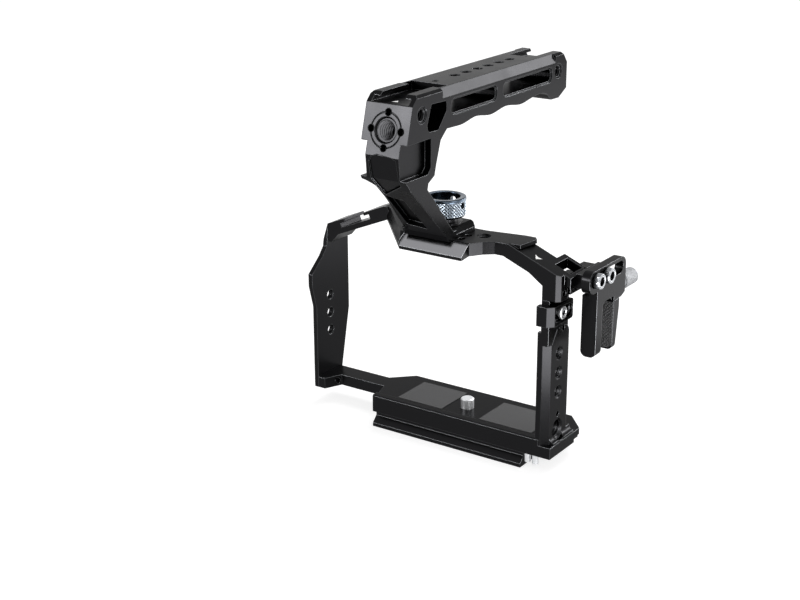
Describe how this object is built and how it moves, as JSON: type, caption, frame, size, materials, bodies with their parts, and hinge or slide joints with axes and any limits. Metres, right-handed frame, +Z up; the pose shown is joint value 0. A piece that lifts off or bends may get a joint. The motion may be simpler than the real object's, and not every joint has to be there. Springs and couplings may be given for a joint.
{
  "type": "camera cage",
  "caption": "Black metal camera cage with a dovetail base, a screwed-on top handle with a knurled knob, a sloping bar with a cold shoe, a locking clip and a cable clamp.",
  "frame": {"origin": "on the camera screw's axis, at the underside of the dovetail rail", "axes": "+X to the camera's port side along the rail, -Y to the lens, +Z up along the camera screw"},
  "size_m": [0.1561, 0.1364, 0.1738],
  "materials": {
    "black_anodised_aluminium": "bead-blasted black anodised",
    "stainless_steel": "satin",
    "rubber": "matt black",
    "black_steel": "black oxide",
    "dark_steel": "blackened steel",
    "knurled_steel": "diamond knurled, faint blue tint",
    "bright_steel": "bright",
    "grey_aluminium": "finely knurled, clear anodised"
  },
  "bodies": {
    "cage": {"base_plate": "black_anodised_aluminium", "rail_stop_pins": "stainless_steel", "base_pads": "rubber", "port_side_wall": "black_anodised_aluminium", "top_frame": "black_anodised_aluminium", "left_bar": "black_anodised_aluminium", "frame_screws": "black_steel", "clip_screw": "stainless_steel", "clamp_arm": "black_anodised_aluminium", "clamp_arm_screws": "black_steel", "clamp_slot_screws": "bright_steel", "handle_body": "black_anodised_aluminium", "thread_insert": "dark_steel", "locating_pins": "stainless_steel", "knob_washer": "black_steel"},
    "camera_screw_turner": {"camera_screw": "stainless_steel"},
    "clip": {"locking_clip": "black_anodised_aluminium"},
    "knob": {"handle_knob": "knurled_steel", "clamp_screw": "stainless_steel", "knob_retaining_ring": "black_steel"},
    "clamp": {"clamp_bracket": "black_anodised_aluminium", "fixed_jaw_pad": "rubber", "guide_rod": "stainless_steel"},
    "jaw": {"moving_jaw": "black_anodised_aluminium", "moving_jaw_pad": "rubber"},
    "thumb": {"thumb_screw": "stainless_steel", "thumb_knob": "grey_aluminium"}
  },
  "joints": [
    {"name": "camera_screw_turn", "type": "hinge", "parent": "cage", "child": "camera_screw_turner", "pos_m": [0, 0, 0.004], "axis": [0, 0, 1], "continuous": true},
    {"name": "clip_slide", "type": "slide", "parent": "cage", "child": "clip", "axis": [0, -1, 0], "range_m": [0, 0.0048]},
    {"name": "knob_turn", "type": "hinge", "parent": "cage", "child": "knob", "pos_m": [-0.003, -0.0163, 0.111], "axis": [0, 0, 1], "continuous": true},
    {"name": "clamp_slide", "type": "slide", "parent": "cage", "child": "clamp", "axis": [0, 1, 0], "range_m": [-0.0135, 0.0021]},
    {"name": "jaw_slide", "type": "slide", "parent": "clamp", "child": "jaw", "axis": [0, -1, 0], "range_m": [0, 0.0084]},
    {"name": "thumb_turn", "type": "hinge", "parent": "clamp", "child": "thumb", "pos_m": [0.0646, 0.024, 0.0817], "axis": [0, -1, 0], "range_deg": [0, 6050]}
  ],
  "couplings": [
    {"joint": "thumb_turn", "follows": "jaw_slide", "rad_per_m": 12566}
  ]
}
